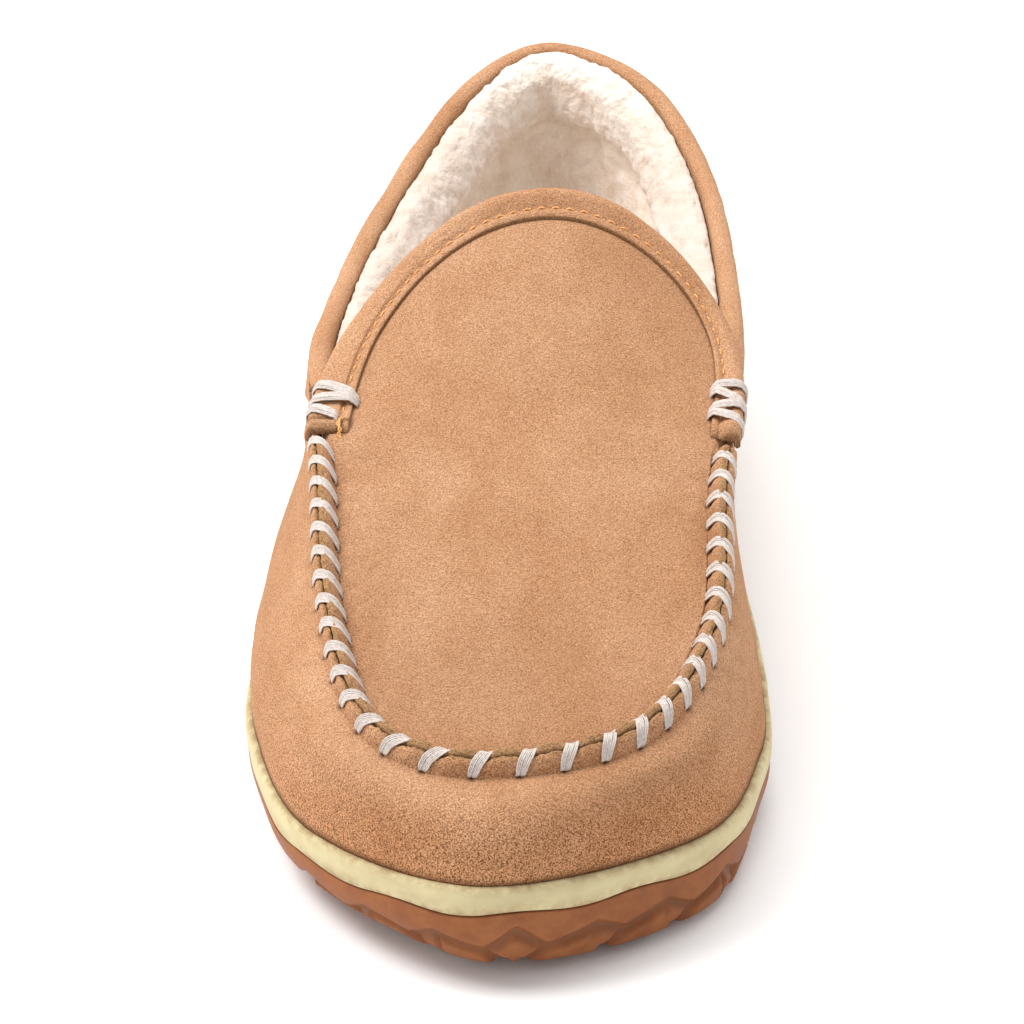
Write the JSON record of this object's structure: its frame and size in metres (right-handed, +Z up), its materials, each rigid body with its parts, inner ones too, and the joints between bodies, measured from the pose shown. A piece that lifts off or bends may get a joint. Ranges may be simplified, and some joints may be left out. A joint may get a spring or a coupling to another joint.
{
  "type": "moccasin slipper",
  "caption": "Left-foot moccasin slipper: tan suede upper with a raised whip-stitched apron, curly fleece lining, foam midsole and lugged rubber outsole.",
  "frame": {"origin": "on the ground under the middle of the bounding box", "axes": "+Z up, +Y towards the heel, -Y towards the toe, +X towards the outer (little-toe) side of the left foot"},
  "size_m": [0.1099, 0.2924, 0.0986],
  "materials": {
    "outsole_rubber": "matt moulded gum rubber",
    "midsole_foam": "matt closed-cell foam",
    "board": "pressed fibre board",
    "soft_foam": "open-cell foam",
    "fleece": "curly pile",
    "suede": "napped suede",
    "lace": "waxed flat lace",
    "thread": "twisted sewing thread"
  },
  "bodies": {
    "root": {"outsole": "outsole_rubber", "midsole": "midsole_foam", "insole_board": "board", "footbed_foam": "soft_foam", "footbed_fleece": "fleece", "vamp": "suede", "quarter_outer": "suede", "quarter_inner": "suede", "heel_counter": "board", "collar_foam": "soft_foam", "topline_binding": "suede", "quarter_lining": "fleece", "vamp_lining": "fleece", "apron": "suede", "apron_lining": "fleece", "throat_band": "suede", "band_stitching": "thread", "seam_lace": "lace", "tack_inner": "lace", "tack_outer": "lace"}
  },
  "joints": []
}
